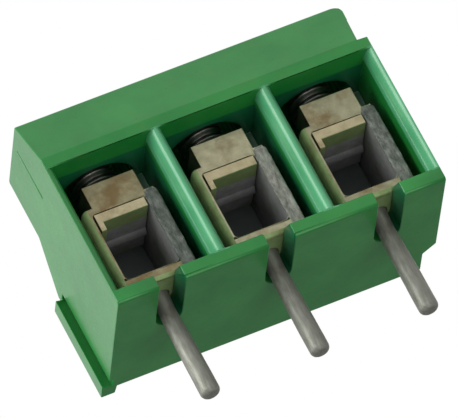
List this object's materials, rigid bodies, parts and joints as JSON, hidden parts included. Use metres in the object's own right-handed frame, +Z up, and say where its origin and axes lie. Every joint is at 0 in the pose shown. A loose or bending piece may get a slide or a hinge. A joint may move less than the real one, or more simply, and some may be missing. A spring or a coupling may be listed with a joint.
{
  "type": "pcb screw terminal",
  "caption": "Green screw terminal block with open wire chambers, metal clamps, slotted screws and round solder pins in a row.",
  "frame": {"origin": "on the board's top surface, on the axis of the middle solder pin", "axes": "+X along the row of poles, -Y out of the wire entries, +Z up, away from the board"},
  "size_m": [0.0153, 0.0076, 0.014],
  "materials": {
    "housing_plastic": "moulded, softly glossy",
    "clamp_metal": "dull nickel plate, with rough sheared edges",
    "pin_metal": "dull tin plate",
    "plate_metal": "nickel plate",
    "screw_metal": "zinc plate"
  },
  "bodies": {
    "terminal": {"housing": "housing_plastic", "clamp_body_1": "clamp_metal", "clamp_body_2": "clamp_metal", "clamp_body_3": "clamp_metal", "solder_pin_1": "pin_metal", "solder_pin_2": "pin_metal", "solder_pin_3": "pin_metal"},
    "plate_1": {"pressure_plate_1": "plate_metal"},
    "screw_1": {"clamp_screw_1": "screw_metal"},
    "plate_2": {"pressure_plate_2": "plate_metal"},
    "screw_2": {"clamp_screw_2": "screw_metal"},
    "plate_3": {"pressure_plate_3": "plate_metal"},
    "screw_3": {"clamp_screw_3": "screw_metal"}
  },
  "joints": [
    {"name": "plate_slide_1", "type": "slide", "parent": "terminal", "child": "plate_1", "axis": [0, 0, -1], "range_m": [0, 0.0022]},
    {"name": "screw_turn_1", "type": "hinge", "parent": "plate_1", "child": "screw_1", "pos_m": [-0.005, 0.0006, 0.0075], "axis": [0, 0, -1], "range_deg": [0, 1980]},
    {"name": "plate_slide_2", "type": "slide", "parent": "terminal", "child": "plate_2", "axis": [0, 0, -1], "range_m": [0, 0.0022]},
    {"name": "screw_turn_2", "type": "hinge", "parent": "plate_2", "child": "screw_2", "pos_m": [0, 0.0006, 0.0075], "axis": [0, 0, -1], "range_deg": [0, 1980]},
    {"name": "plate_slide_3", "type": "slide", "parent": "terminal", "child": "plate_3", "axis": [0, 0, -1], "range_m": [0, 0.0022]},
    {"name": "screw_turn_3", "type": "hinge", "parent": "plate_3", "child": "screw_3", "pos_m": [0.005, 0.0006, 0.0075], "axis": [0, 0, -1], "range_deg": [0, 1980]}
  ],
  "couplings": [
    {"joint": "screw_turn_1", "follows": "plate_slide_1", "rad_per_m": 15708},
    {"joint": "screw_turn_2", "follows": "plate_slide_2", "rad_per_m": 15708},
    {"joint": "screw_turn_3", "follows": "plate_slide_3", "rad_per_m": 15708}
  ]
}
